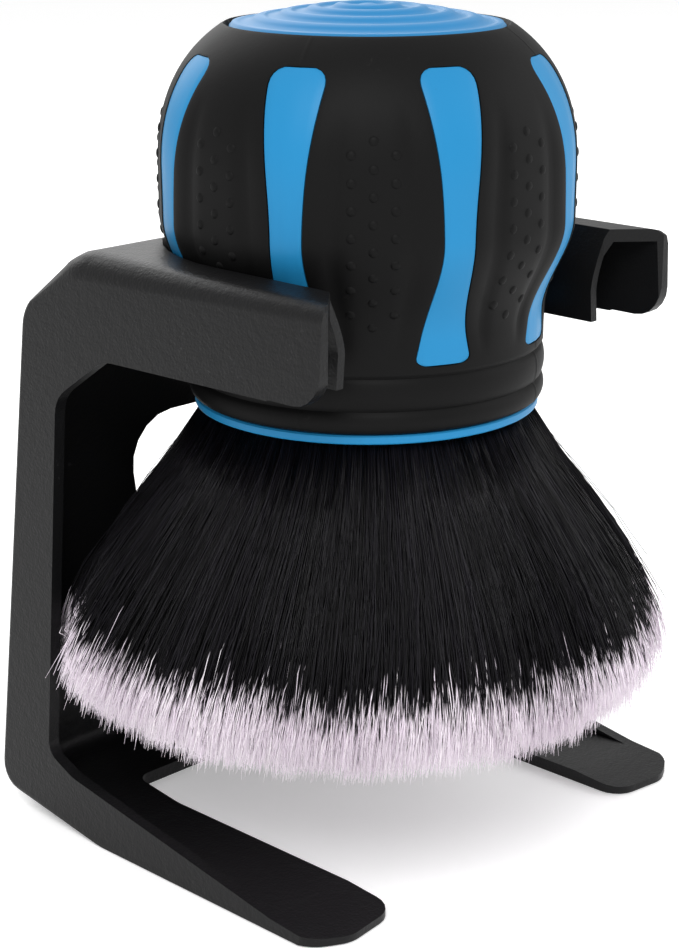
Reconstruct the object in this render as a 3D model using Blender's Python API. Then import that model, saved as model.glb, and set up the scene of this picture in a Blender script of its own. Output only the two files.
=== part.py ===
"""Barber's fade brush: a round grip with a dense flared bristle bundle, hanging in its C-shaped stand.

Sizes are in millimetres and become metres when a mesh is made. X is across the stand, the stand opens
towards -Y, and Z is up from the surface that it stands on. Each piece is one object with one material.
"""
import math

import bmesh
import bpy

MM = 0.001

# Clearances
FIT_GAP = 0.3            # between any two pieces that touch when assembled
SEAT_GAP = 0.35          # between the grip and the fork that carries it
BACK_GAP = 0.8           # between the bristles and the back plate that flattens them

# Stand: one moulding with an even wall
STAND_WALL = 2.0
TIP_HEIGHT = 20.6        # clear height that the fork leaves under the bristles
STAND_REAR = 41.6        # rear face, behind the brush axis, at the foot of the back plate
TOP_HALF_WIDTH = 39.0    # outer half width at the top of the fork
FOOT_HALF_WIDTH = 43.8   # outer half width on the ground
ARM_DEPTH = 14.5         # height of the fork's outer walls
ARM_REACH = 28.6         # fork tips, in front of the brush axis
LIP_REACH = 22.2         # front ends of the fork's inner walls
SLOPE_START = 25.5       # the fork's flat top ends here, behind the axis
SLOPE_DROP = 10.5        # how far the sloping shoulder falls
SLOPE_RUN = 10.5         # and how far back it runs
SIDE_FRONT = 28.0        # front edge of the upright side walls, behind the axis
REAR_LIFT = 3.0          # the rear corner stands clear of the ground
FOOT_REACH = 33.4        # foot tips, in front of the brush axis
FOOT_INNER = 27.3        # inner edge of each foot
FOOT_TIP = 1.1           # thickness at the foot tips
FLOOR_FRONT = 26.0       # front edge of the floor between the feet
RIB_HEIGHT = 9.5         # side wall over the foot, at its rear end
GROUND_START = 16.0      # the underside is flat from here forwards
EDGE_ROUND = 2.4         # long top edges, at the front of the arms
SHOULDER_ROUND = 4.0     # the same edges where the shoulder starts to slope
REAR_ROUND = 1.0         # the same edges down the back plate
TOP_CORNER = 9.0         # bends of the side profile: over the shoulder,
SHOULDER_CORNER = 6.0    # into the back plate,
REAR_CORNER = 4.5        # under the back plate
GROUND_CORNER = 20.0     # and down to the ground
ARM_END_ROUND = 5.0      # lower front corner of each arm
ARM_SPARE = 4.0          # length that the cut at the arms' ends takes off
HOLE_HALF_WIDTH = 18.5   # opening in the back plate
HOLE_TOP = 61.3
HOLE_BOTTOM = 30.0

# Seat: the fork's inner wall, which follows the grip's taper
LIP_HEIGHT = 5.0         # upright part of the inner wall, below the seat
LIP_FLARE = 0.4          # the lip opens out by this much at its lower edge
SEAT_WALL = 1.4
SEAT_ABOVE_WAIST = 0.6
SEAT_LEVELS = 10         # flat steps that follow the curve
MOUTH_INNER = 3.0        # the ends are square over this much beside the gap, then slant out to the tips
MOUTH_OUTER = 10.0

# Grip
BELLY_R = 32.0
COLLAR_R = 27.5
RIM_R = 21.7             # where the rubber ends at the top
RIM_LIP = 0.6            # width of the rubber's top edge
BELLY_LENGTH = 7.0       # straight part at the greatest radius
TAPER_LENGTH = 15.0      # from belly to collar
DOME_HEIGHT = 25.9       # full height of the dome that the rim cuts off
DOME_POWER = 2.35
COLLAR_LENGTH = 13.6     # from the waist down to the end of the rubber
BEAD = 0.45              # how far the collar's two beads stand out of their grooves
RIDGE = 0.012            # the eight windows lie on ridges this much above the mean radius
SLEEVE_WALL = 2.0
CORE_WALL = 1.6
LAND_STEP = 0.15         # the blue lands end this far below the rubber

# Windows in the sleeve, one on each ridge
WINDOW_COUNT = 8
WINDOW_TURN = 22.5       # degrees from +X to the first window
WINDOW_WAIST = 4.5       # half angle in degrees where the window is narrowest
WINDOW_END = 9.9         # half angle in degrees at both ends
WINDOW_BOTTOM = 3.8      # below the waist of the grip
WINDOW_TOP = 38.2        # above the waist of the grip
WINDOW_NARROW = 14.5     # height of the narrowest place above the waist
WINDOW_CORNER = 1.6
WINDOW_ROWS = 14         # flat steps up a window that follow the grip's curve

# Cap, ferrule cup and bristles
CAP_DOME = 3.0
CAP_RINGS = 6
CAP_RIPPLE = 0.3
CAP_EDGE = 2.0
CAP_PLUG_R = 16.5
CAP_PLUG_DEPTH = 4.0
CUP_RING = 1.4           # height of the ring that shows under the rubber
CUP_WALL = 1.2
CUP_LIP = 2.3            # width of the ring's underside
CUP_FLARE = 1.0          # height over which the cup's mouth opens out
RING_STEP = 0.6          # the ring stands back from the rubber by this much
CUP_SKIRT = 8.5          # how far the cup reaches up inside the core
PLUG_HEIGHT = 5.0
HAIR_R = 48.0            # greatest radius of the flared bristles
HAIR_LENGTH = 47.5       # from the ring to the lowest tips
HAIR_ROUND = 10.0        # rounding between the side and the tips

# Places that follow from the sizes above
RING_Z = TIP_HEIGHT + HAIR_LENGTH                   # underside of the cup's ring
COLLAR_Z = RING_Z + CUP_RING + FIT_GAP              # lower end of the rubber
WAIST_Z = COLLAR_Z + COLLAR_LENGTH                  # where the grip's taper ends
SEAT_Z = WAIST_Z + SEAT_ABOVE_WAIST                 # the seat's narrowest place
STAND_HEIGHT = SEAT_Z - LIP_HEIGHT + ARM_DEPTH      # top of the fork
TAPER_TOP_Z = WAIST_Z + TAPER_LENGTH
BELLY_TOP_Z = TAPER_TOP_Z + BELLY_LENGTH
RIM_Z = BELLY_TOP_Z + DOME_HEIGHT * (1 - (RIM_R / BELLY_R) ** DOME_POWER) ** (1 / DOME_POWER)
CAP_R = RIM_R - RIM_LIP - FIT_GAP
CORE_TOP_Z = RIM_Z - CAP_EDGE - FIT_GAP
AXIS_Y = (HAIR_R - STAND_REAR) / 2                  # centres the assembly over the origin

BLUE = (0.03, 0.33, 0.68)
BLACK = (0.012, 0.012, 0.013)


# ---------------------------------------------------------------- helpers

def material(name, color, roughness, metallic=0.0):
    """A plain Principled surface."""
    made = bpy.data.materials.new(name)
    made.use_nodes = True
    shader = made.node_tree.nodes["Principled BSDF"]
    shader.inputs["Base Color"].default_value = (*color, 1.0)
    shader.inputs["Roughness"].default_value = roughness
    shader.inputs["Metallic"].default_value = metallic
    return made


def add_object(name, bm, surface=None):
    """Turn a bmesh drawn in millimetres about the brush axis into an object in metres."""
    bmesh.ops.translate(bm, verts=bm.verts, vec=(0, AXIS_Y, 0))
    bmesh.ops.scale(bm, verts=bm.verts, vec=(MM, MM, MM))
    bmesh.ops.recalc_face_normals(bm, faces=bm.faces)
    mesh = bpy.data.meshes.new(name)
    bm.to_mesh(mesh)
    bm.free()
    made = bpy.data.objects.new(name, mesh)
    bpy.context.scene.collection.objects.link(made)
    if surface:
        mesh.materials.append(surface)
        mesh.shade_smooth()
        mesh.set_sharp_from_angle(angle=math.radians(35))
    else:
        made.hide_render = True
        made.display_type = "WIRE"
    return made


def boolean(target, tool, operation):
    """Cut, join or intersect with a hidden tool object."""
    step = target.modifiers.new(tool.name, "BOOLEAN")
    step.operation = operation
    step.solver = "EXACT"
    step.object = tool


def rounded(corners, steps=5):
    """A polyline through (a, b, radius) corners, each rounded by an arc of that radius."""
    points = []
    count = len(corners)
    for i, (a, b, radius) in enumerate(corners):
        if radius <= 0:
            points.append((a, b))
            continue
        pa, pb, _ = corners[i - 1]
        na, nb, _ = corners[(i + 1) % count]
        ua, ub = pa - a, pb - b
        va, vb = na - a, nb - b
        lu, lv = math.hypot(ua, ub), math.hypot(va, vb)
        ua, ub, va, vb = ua / lu, ub / lu, va / lv, vb / lv
        half = math.acos(max(-1.0, min(1.0, ua * va + ub * vb))) / 2
        reach = radius / math.tan(half)
        middle = math.hypot(ua + va, ub + vb)
        ca = a + (ua + va) / middle * radius / math.sin(half)
        cb = b + (ub + vb) / middle * radius / math.sin(half)
        start = math.atan2(b + ub * reach - cb, a + ua * reach - ca)
        end = math.atan2(b + vb * reach - cb, a + va * reach - ca)
        turn = (end - start + math.pi) % (2 * math.pi) - math.pi
        for k in range(steps + 1):
            angle = start + turn * k / steps
            points.append((ca + radius * math.cos(angle), cb + radius * math.sin(angle)))
    return points


def bridge(bm, first, second):
    """Close the side between two matching loops and cap both ends."""
    bm.faces.new(first)
    bm.faces.new(list(reversed(second)))
    for i in range(len(first)):
        j = (i + 1) % len(first)
        bm.faces.new((first[j], first[i], second[i], second[j]))


def side_prism(outline, half_width):
    """A solid whose (y, z) outline runs across the stand, as wide as half_width says at each height."""
    bm = bmesh.new()
    left = [bm.verts.new((-half_width(z), y, z)) for y, z in outline]
    right = [bm.verts.new((half_width(z), y, z)) for y, z in outline]
    bridge(bm, left, right)
    return bm


def plan_prism(outline, low, high):
    """A solid whose (x, y) outline runs from one height to another."""
    bm = bmesh.new()
    bridge(bm, [bm.verts.new((x, y, low)) for x, y in outline], [bm.verts.new((x, y, high)) for x, y in outline])
    return bm


def lathe(profile, segments, closed):
    """Turn an (r, z) profile about the axis. An open profile starts and ends on the axis."""
    bm = bmesh.new()
    rings = []
    for r, z in profile:
        if r == 0:
            rings.append([bm.verts.new((0, 0, z))])
        else:
            turns = [2 * math.pi * k / segments for k in range(segments)]
            rings.append([bm.verts.new((r * math.cos(t), r * math.sin(t), z)) for t in turns])
    pairs = list(zip(rings, rings[1:]))
    if closed:
        pairs.append((rings[-1], rings[0]))
    for lower, upper in pairs:
        for k in range(segments):
            m = (k + 1) % segments
            if len(lower) == 1:
                bm.faces.new((lower[0], upper[m], upper[k]))
            elif len(upper) == 1:
                bm.faces.new((lower[k], lower[m], upper[0]))
            else:
                bm.faces.new((lower[k], lower[m], upper[m], upper[k]))
    return bm


def smooth_step(t):
    """Ease from 0 to 1."""
    t = max(0.0, min(1.0, t))
    return t * t * (3 - 2 * t)


# ---------------------------------------------------------------- shared shapes

def grip_radius(z):
    """Mean outer radius of the rubber, without the beads."""
    if z >= BELLY_TOP_Z:
        rise = min(1.0, (z - BELLY_TOP_Z) / DOME_HEIGHT)
        return BELLY_R * (1 - rise ** DOME_POWER) ** (1 / DOME_POWER)
    return COLLAR_R + (BELLY_R - COLLAR_R) * smooth_step((z - WAIST_Z) / TAPER_LENGTH)


def ridge_share(z):
    """Strength of the eight ridges: none on the collar and at the rim."""
    up = smooth_step((z - WAIST_Z) / TAPER_LENGTH)
    down = smooth_step((RIM_Z - z) / (RIM_Z - BELLY_TOP_Z))
    return RIDGE * up * down


def grip_surface(z, angle, inset=0.0):
    """Radius of the rounded octagon, inset by a wall."""
    turned = angle - math.radians(WINDOW_TURN)
    return grip_radius(z) * (1 + ridge_share(z) * math.cos(WINDOW_COUNT * turned)) - inset


def window_half_angle(z):
    """Half angle of the hourglass window, with its ends rounded off."""
    low, high = WAIST_Z - WINDOW_BOTTOM, WAIST_Z + WINDOW_TOP
    narrow = WAIST_Z + WINDOW_NARROW
    span = high - narrow if z > narrow else narrow - low
    share = min(1.0, abs(z - narrow) / span) ** 1.8
    width = WINDOW_WAIST + (WINDOW_END - WINDOW_WAIST) * share
    inside = WINDOW_CORNER - min(z - low, high - z)
    if inside > 0:
        cut = WINDOW_CORNER - math.sqrt(max(0.0, WINDOW_CORNER ** 2 - inside ** 2))
        width -= math.degrees(cut / grip_radius(z))
    return math.radians(width)


def stand_half_width(z):
    """Outer half width of the stand, which splays towards the ground."""
    return FOOT_HALF_WIDTH + (TOP_HALF_WIDTH - FOOT_HALF_WIDTH) * z / STAND_HEIGHT


def spine(inset):
    """Outline under the top, the shoulder, the back plate and the floor, moved in by a wall."""
    top = STAND_HEIGHT - inset
    shoulder_y = SLOPE_START + SLOPE_RUN
    shoulder_z = STAND_HEIGHT - SLOPE_DROP
    lean = (STAND_REAR - shoulder_y) / (shoulder_z - REAR_LIFT)
    slope = math.hypot(SLOPE_RUN, SLOPE_DROP)
    shift = inset * (slope - SLOPE_RUN) / SLOPE_DROP
    return [(SLOPE_START - shift, top, TOP_CORNER - inset),
            (shoulder_y - inset, shoulder_z - inset * 0.45, SHOULDER_CORNER - inset),
            (STAND_REAR - inset - lean * inset, REAR_LIFT + inset, REAR_CORNER - inset),
            (GROUND_START, inset, GROUND_CORNER - inset)]


# ---------------------------------------------------------------- stand

def long_edge_round(y, z):
    """Rounding of the long edge at a point of the side profile, greatest at the shoulder."""
    if y > SLOPE_START + SLOPE_RUN / 2:
        return REAR_ROUND
    if y > SLOPE_START - TOP_CORNER and z > STAND_HEIGHT - SLOPE_DROP:
        return SHOULDER_ROUND
    return EDGE_ROUND if z == STAND_HEIGHT else 0.0


def stand_body():
    """The C-shaped side profile right across the stand, with its long outer edges rounded."""
    low_edge = STAND_HEIGHT - ARM_DEPTH
    front = -ARM_REACH - ARM_SPARE
    outline = rounded([(front, STAND_HEIGHT, 0)] + spine(0.0) + [
        (-FOOT_REACH, 0.0, 0),
        (-FOOT_REACH, FOOT_TIP, 0),
        (-FOOT_REACH + 11.0, STAND_WALL, 0),
        (SIDE_FRONT - 5.0, RIB_HEIGHT, 8.0),
        (SIDE_FRONT + 1.0, RIB_HEIGHT + 2.5, 3.0),
        (SIDE_FRONT - 0.5, low_edge - 8.5, 5.0),
        (SLOPE_START - 9.0, low_edge - 0.8, 7.0),
        (front, low_edge, 0)])
    bm = bmesh.new()
    count, steps = len(outline), 3
    rings = []
    for side, order in ((1, range(steps + 1)), (-1, range(steps, -1, -1))):
        for step in order:
            turn = math.pi / 2 * step / steps
            ring = []
            for i, (y, z) in enumerate(outline):
                size = long_edge_round(y, z)
                before, after = outline[max(i - 1, 0)], outline[(i + 1) % count]
                along_y, along_z = after[0] - before[0], after[1] - before[1]
                inset = size * (1 - math.sin(turn)) / math.hypot(along_y, along_z)
                y, z = y + inset * along_z, z - inset * along_y
                ring.append(bm.verts.new((side * (stand_half_width(z) - size * (1 - math.cos(turn))), y, z)))
            rings.append(ring)
    bm.faces.new(rings[0])
    bm.faces.new(list(reversed(rings[-1])))
    for near, far in zip(rings, rings[1:]):
        for i in range(count):
            j = (i + 1) % count
            bm.faces.new((near[j], near[i], far[i], far[j]))
    bmesh.ops.remove_doubles(bm, verts=bm.verts, dist=1e-4)
    return bm


def stand_hollow():
    """The room inside the wall, open to the front."""
    front = -FOOT_REACH - 30
    outline = rounded([(front, STAND_HEIGHT - STAND_WALL, 0)] + spine(STAND_WALL) + [(front, STAND_WALL, 0)])
    return side_prism(outline, lambda z: stand_half_width(z) - STAND_WALL)


def seat_half_gap(z):
    """Half gap of the fork: the widest the grip is at this height, with the seat's clearance."""
    return grip_radius(z) * (1 + ridge_share(z)) + SEAT_GAP


def fork_block(wall, over):
    """The U-shaped room between the fork's arms, grown by a wall and reaching past both its ends by over."""
    low = STAND_HEIGHT - ARM_DEPTH
    levels = [(seat_half_gap(SEAT_Z) + LIP_FLARE, low - over)] if over else []
    levels.append((seat_half_gap(SEAT_Z) + LIP_FLARE, low))
    for k in range(SEAT_LEVELS + 1):
        z = SEAT_Z + (STAND_HEIGHT + 1 + over - SEAT_Z) * k / SEAT_LEVELS
        levels.append((seat_half_gap(z), z))
    turns = 20
    front = -ARM_REACH - ARM_SPARE - over
    bm = bmesh.new()
    rings = []
    for half_gap, z in levels:
        reach = half_gap + wall
        ring = [bm.verts.new((reach, front, z))]
        for k in range(turns + 1):
            angle = math.pi * k / turns
            ring.append(bm.verts.new((reach * math.cos(angle), reach * math.sin(angle), z)))
        ring.append(bm.verts.new((-reach, front, z)))
        rings.append(ring)
    bm.faces.new(list(reversed(rings[0])))
    bm.faces.new(rings[-1])
    for lower, upper in zip(rings, rings[1:]):
        for i in range(len(lower)):
            j = (i + 1) % len(lower)
            bm.faces.new((lower[i], lower[j], upper[j], upper[i]))
    return bm


def mouth():
    """Cuts the fork's ends off at a slant, so that they guide the collar in."""
    far = 60.0
    tip = seat_half_gap(SEAT_Z) + MOUTH_OUTER
    lip = seat_half_gap(SEAT_Z) + MOUTH_INNER
    outline = [(-far, -far), (far, -far), (far, -ARM_REACH), (tip, -ARM_REACH), (lip, -LIP_REACH),
               (-lip, -LIP_REACH), (-tip, -ARM_REACH), (-far, -ARM_REACH)]
    return plan_prism(outline, SEAT_Z - 12, STAND_HEIGHT + 4)


def arm_ends():
    """Trims both arms to length and rounds their lower corners."""
    high, low = STAND_HEIGHT, STAND_HEIGHT - ARM_DEPTH
    end, far = -ARM_REACH, -ARM_REACH - 3 * ARM_SPARE
    outline = rounded([(end + 1.0, high + 3, 0), (end + 1.0, high, 0), (end, high - 1.0, 0),
                       (end, low, ARM_END_ROUND), (end + 2 * ARM_END_ROUND, low, 0),
                       (end + 2 * ARM_END_ROUND, low - 3, 0), (far, low - 3, 0), (far, high + 3, 0)])
    return side_prism(outline, lambda z: FOOT_HALF_WIDTH + 5)


def foot_gap():
    """The open floor between the feet."""
    outline = rounded([(-FOOT_INNER, -FOOT_REACH - 9, 0), (FOOT_INNER, -FOOT_REACH - 9, 0),
                       (FOOT_INNER, FLOOR_FRONT, 2.0), (-FOOT_INNER, FLOOR_FRONT, 2.0)])
    return plan_prism(outline, -5, RIB_HEIGHT + 2)


def foot_end(side):
    """Rounds one foot's tip in plan."""
    outer, inner, tip = FOOT_HALF_WIDTH, FOOT_INNER, -FOOT_REACH
    tip_line = rounded([(outer + 1, tip + 14, 0), (outer, tip + 3.5, 6.0), (outer - 6, tip + 0.2, 5.0),
                        (inner, tip + 1.5, 4.0), (inner, tip + 14, 0)])
    outline = tip_line + [(inner - 4, tip + 14), (inner - 4, tip - 9), (outer + 9, tip - 9), (outer + 9, tip + 14)]
    return plan_prism([(side * x, y) for x, y in outline], -5, RIB_HEIGHT)


def back_hole():
    """Opening in the back plate: flat on top, narrower below."""
    w = HOLE_HALF_WIDTH
    outline = rounded([(-w - 1, HOLE_TOP, 8.0), (w + 1, HOLE_TOP, 8.0), (w * 0.72, HOLE_BOTTOM, 11.0),
                       (-w * 0.72, HOLE_BOTTOM, 11.0)])
    bm = bmesh.new()
    near = [bm.verts.new((x, SIDE_FRONT + 2, z)) for x, z in outline]
    far = [bm.verts.new((x, STAND_REAR + 6, z)) for x, z in outline]
    bridge(bm, near, far)
    return bm


def build_stand(surface):
    stand = add_object("stand", stand_body(), surface)
    boolean(stand, add_object("cut_hollow", stand_hollow()), "DIFFERENCE")
    front = -ARM_REACH - ARM_SPARE
    block_outline = rounded([(front, STAND_HEIGHT, 0)] + spine(0.0) + [(front, 0.0, 0)])
    block = add_object("guide_block", side_prism(block_outline, lambda z: FOOT_HALF_WIDTH + 5))
    seat = add_object("guide_seat", fork_block(SEAT_WALL, 0))
    boolean(seat, block, "INTERSECT")
    boolean(stand, seat, "UNION")
    boolean(stand, add_object("cut_fork", fork_block(0, 2)), "DIFFERENCE")
    boolean(stand, add_object("cut_mouth", mouth()), "DIFFERENCE")
    boolean(stand, add_object("cut_arm_ends", arm_ends()), "DIFFERENCE")
    boolean(stand, add_object("cut_foot_gap", foot_gap()), "DIFFERENCE")
    for side in (-1, 1):
        boolean(stand, add_object(f"cut_foot_end_{side}", foot_end(side)), "DIFFERENCE")
    boolean(stand, add_object("cut_back_hole", back_hole()), "DIFFERENCE")
    return stand


# ---------------------------------------------------------------- grip

def window_rows():
    """Heights of the rows that the windows' rounded ends and sides need."""
    low, high = WAIST_Z - WINDOW_BOTTOM, WAIST_Z + WINDOW_TOP
    corner = (0.0, 0.3, 1.0)
    rows = [low + WINDOW_CORNER * c for c in corner]
    rows += [low + WINDOW_CORNER + (high - low - 2 * WINDOW_CORNER) * k / WINDOW_ROWS
             for k in range(1, WINDOW_ROWS)]
    rows += [high - WINDOW_CORNER * c for c in reversed(corner)]
    return rows


def shell(rows, columns, outer, inner, is_open):
    """A closed wall between two surfaces over a grid that runs right round, with open cells left out.

    outer and inner give a point for a row and a column; is_open says which cells are missing.
    """
    bm = bmesh.new()
    out = [[bm.verts.new(outer(j, i)) for i in range(columns)] for j in range(rows)]
    inn = [[bm.verts.new(inner(j, i)) for i in range(columns)] for j in range(rows)]

    def missing(j, i):
        return j < 0 or j >= rows - 1 or is_open(j, i % columns)

    for j in range(rows - 1):
        for i in range(columns):
            m = (i + 1) % columns
            if missing(j, i):
                continue
            bm.faces.new((out[j][i], out[j][m], out[j + 1][m], out[j + 1][i]))
            bm.faces.new((inn[j + 1][i], inn[j + 1][m], inn[j][m], inn[j][i]))
            if missing(j - 1, i):
                bm.faces.new((inn[j][i], inn[j][m], out[j][m], out[j][i]))
            if missing(j + 1, i):
                bm.faces.new((out[j + 1][i], out[j + 1][m], inn[j + 1][m], inn[j + 1][i]))
            if missing(j, i - 1):
                bm.faces.new((out[j][i], out[j + 1][i], inn[j + 1][i], inn[j][i]))
            if missing(j, i + 1):
                bm.faces.new((inn[j][m], inn[j + 1][m], out[j + 1][m], out[j][m]))
    for vertex in [v for v in bm.verts if not v.link_faces]:
        bm.verts.remove(vertex)
    return bm


def polar(r, angle, z):
    return (r * math.cos(angle), r * math.sin(angle), z)


def build_sleeve(surface):
    """Soft rubber skin with eight hourglass windows and a beaded collar."""
    bead_one = COLLAR_Z + 0.24 * COLLAR_LENGTH
    bead_two = COLLAR_Z + 0.60 * COLLAR_LENGTH

    def collar_bead(z):
        if z >= bead_two:
            return -BEAD if z < bead_two + 0.1 else 0.0
        low, high = (COLLAR_Z, bead_one) if z < bead_one - 0.01 else (bead_one, bead_two)
        share = (z - low) / (high - low)
        return -BEAD + BEAD * 1.4 * math.sin(math.pi * max(0.0, min(1.0, share))) ** 0.7

    windows = window_rows()
    heights = [COLLAR_Z, COLLAR_Z + 0.8, (COLLAR_Z + bead_one) / 2, bead_one, bead_one + 1.0,
               (bead_one + bead_two) / 2, bead_two - 1.0, bead_two, bead_two + 1.0]
    first_window = len(heights)
    heights += windows
    last_window = len(heights) - 1
    above = 4
    heights += [windows[-1] + (RIM_Z - windows[-1]) * k / above for k in range(1, above + 1)]
    shares = (-1.0, -0.5, 0.0, 0.5, 1.0, 1.5)       # -1..1 across a window, beyond that across the panel
    columns = WINDOW_COUNT * len(shares)

    def angle_of(j, i):
        sector, step = divmod(i, len(shares))
        z = min(max(heights[j], windows[0]), windows[-1])
        half = window_half_angle(z)
        quarter = math.pi / WINDOW_COUNT
        share = shares[step]
        offset = half * share if abs(share) <= 1 else half + (quarter - half) * (share - 1) * 2
        return math.radians(WINDOW_TURN) + 2 * math.pi * sector / WINDOW_COUNT + offset

    def outer(j, i):
        z = heights[j]
        bead = collar_bead(z) if z < WAIST_Z else 0.0
        angle = angle_of(j, i)
        return polar(grip_surface(z, angle) + bead, angle, z)

    def inner(j, i):
        z = heights[j]
        angle = angle_of(j, i)
        r = grip_surface(z, angle, SLEEVE_WALL)
        if z > CORE_TOP_Z - 3:
            r = max(r, CAP_R + FIT_GAP)
        return polar(r, angle, z)

    def is_open(j, i):
        return first_window <= j < last_window and i % len(shares) < 4

    bm = shell(len(heights), columns, outer, inner, is_open)
    return add_object("grip_sleeve", bm, surface)


def build_core(surface):
    """Hollow blue body whose eight raised lands fill the sleeve's windows."""
    windows = window_rows()
    heights = [COLLAR_Z, COLLAR_Z + CUP_SKIRT, (COLLAR_Z + CUP_SKIRT + windows[0]) / 2]
    first_land = len(heights)
    heights += [windows[0] + FIT_GAP] * 2 + windows[1:-1] + [windows[-1] - FIT_GAP] * 2
    last_land = len(heights) - 1
    heights += [CORE_TOP_Z - 1.2, CORE_TOP_Z]
    shares = (-1.0, -1.0, 0.0, 1.0, 1.0, 1.67, 2.33)
    columns = WINDOW_COUNT * len(shares)

    def angle_of(j, i):
        sector, step = divmod(i, len(shares))
        z = min(max(heights[j], windows[0] + FIT_GAP), windows[-1] - FIT_GAP)
        half = window_half_angle(z) - FIT_GAP / grip_radius(z)
        quarter = math.pi / WINDOW_COUNT
        share = shares[step]
        offset = half * share if abs(share) <= 1 else half + (quarter - half) * (share - 1)
        return math.radians(WINDOW_TURN) + 2 * math.pi * sector / WINDOW_COUNT + offset

    def under_sleeve(z, angle):
        r = grip_surface(z, angle, SLEEVE_WALL + FIT_GAP)
        return min(r, CAP_R + FIT_GAP + 3.0) if z > CORE_TOP_Z - 0.5 else r

    def outer(j, i):
        z = heights[j]
        angle = angle_of(j, i)
        on_land = first_land < j < last_land and 0 < i % len(shares) < 4
        r = grip_surface(z, angle, LAND_STEP) if on_land else under_sleeve(z, angle)
        return polar(r, angle, z)

    def inner(j, i):
        z = heights[j]
        angle = angle_of(j, i)
        r = grip_radius(z) - SLEEVE_WALL - FIT_GAP - CORE_WALL
        if z > CORE_TOP_Z - 3:
            r = CAP_PLUG_R + FIT_GAP
        return polar(r, angle, z)

    bm = shell(len(heights), columns, outer, inner, lambda j, i: False)
    return add_object("grip_core", bm, surface)


def build_cap(surface):
    """Rippled disc that presses into the top of the core."""
    steps = CAP_RINGS * 2
    edge_z = RIM_Z - 0.2
    profile = [(0, edge_z + CAP_DOME)]
    for k in range(1, steps):
        share = k / steps
        ripple = CAP_RIPPLE * math.cos(2 * math.pi * CAP_RINGS * share)
        profile.append((CAP_R * share, edge_z + CAP_DOME * (1 - share ** 2) + ripple * (1 - share)))
    under = CORE_TOP_Z + FIT_GAP
    profile += [(CAP_R, edge_z), (CAP_R, under), (CAP_PLUG_R, under), (CAP_PLUG_R, under - CAP_PLUG_DEPTH),
                (CAP_PLUG_R - 1.5, under - CAP_PLUG_DEPTH), (CAP_PLUG_R - 1.5, under), (0, under)]
    return add_object("top_cap", lathe(profile, 40, False), surface)


def cup_inner_radius():
    return COLLAR_R - SLEEVE_WALL - CORE_WALL - 2 * FIT_GAP - CUP_WALL


def build_cup(surface):
    """Ring under the rubber with a skirt that holds the bristles inside the core."""
    bore = cup_inner_radius()
    skirt = bore + CUP_WALL
    ring = COLLAR_R - RING_STEP
    ring_top = COLLAR_Z - FIT_GAP
    skirt_top = COLLAR_Z + CUP_SKIRT - 1
    profile = [(ring - CUP_LIP, RING_Z), (ring - 0.3, RING_Z), (ring, RING_Z + 0.3), (ring, ring_top),
               (skirt, ring_top), (skirt, skirt_top), (bore, skirt_top), (bore, RING_Z + CUP_FLARE)]
    return add_object("ferrule_cup", lathe(profile, 48, True), surface)


def build_plug(surface):
    """Set resin that bonds the bristle roots into the cup."""
    r = cup_inner_radius() - FIT_GAP
    high = COLLAR_Z + CUP_SKIRT - 1.5
    profile = [(0, high), (r, high), (r, high - PLUG_HEIGHT), (0, high - PLUG_HEIGHT)]
    return add_object("glue_plug", lathe(profile, 32, False), surface)


def hair_radius(depth):
    """Radius of the bundle at a depth below the ring, before its rounded end."""
    share = min(1.0, depth / (HAIR_LENGTH * 0.80))
    root = COLLAR_R - RING_STEP - CUP_LIP - FIT_GAP
    return root + (HAIR_R - root) * (0.25 * share + 0.75 * math.sin(math.pi / 2 * share) ** 1.35)


def behind_side_wall(side):
    """The room outside one side wall's inner face, which wide bristles lean on."""
    front = SIDE_FRONT - 0.5 - FIT_GAP
    corners = [(front, REAR_LIFT), (2 * HAIR_R, REAR_LIFT), (2 * HAIR_R, STAND_HEIGHT), (front, STAND_HEIGHT)]
    bm = bmesh.new()
    near = [bm.verts.new((side * (stand_half_width(z) - STAND_WALL - FIT_GAP), y, z)) for y, z in corners]
    far = [bm.verts.new((side * 2 * HAIR_R, y, z)) for y, z in corners]
    bridge(bm, near, far)
    return bm


def build_bristles(surface):
    """Flared bundle, flattened where it leans on the back plate."""
    root = cup_inner_radius() - FIT_GAP
    top = COLLAR_Z + CUP_SKIRT - 1.5 - PLUG_HEIGHT - FIT_GAP
    profile = [(0, top), (root, top), (root, RING_Z + CUP_FLARE), (hair_radius(0), RING_Z)]
    steps = 9
    side = HAIR_LENGTH - HAIR_ROUND
    profile += [(hair_radius(side * k / steps), RING_Z - side * k / steps) for k in range(1, steps + 1)]
    turns = 4
    start = hair_radius(side)
    for k in range(1, turns + 1):
        angle = math.pi / 2 * k / turns
        profile.append((start - HAIR_ROUND * (1 - math.cos(angle)), TIP_HEIGHT + HAIR_ROUND * (1 - math.sin(angle))))
    profile.append((0, TIP_HEIGHT))
    bristles = add_object("bristles", lathe(profile, 48, False), surface)
    bm = bmesh.new()
    plate_front = [(y - STAND_WALL - BACK_GAP, z) for y, z in
                   ((SLOPE_START + SLOPE_RUN, STAND_HEIGHT - SLOPE_DROP), (STAND_REAR, REAR_LIFT))]
    corners = plate_front + [(2 * HAIR_R, REAR_LIFT), (2 * HAIR_R, STAND_HEIGHT - SLOPE_DROP)]
    near = [bm.verts.new((-2 * HAIR_R, y, z)) for y, z in corners]
    far = [bm.verts.new((2 * HAIR_R, y, z)) for y, z in corners]
    bridge(bm, near, far)
    boolean(bristles, add_object("cut_back_plate", bm), "DIFFERENCE")
    for side in (-1, 1):
        boolean(bristles, add_object(f"cut_side_{side}", behind_side_wall(side)), "DIFFERENCE")
    return bristles


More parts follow.
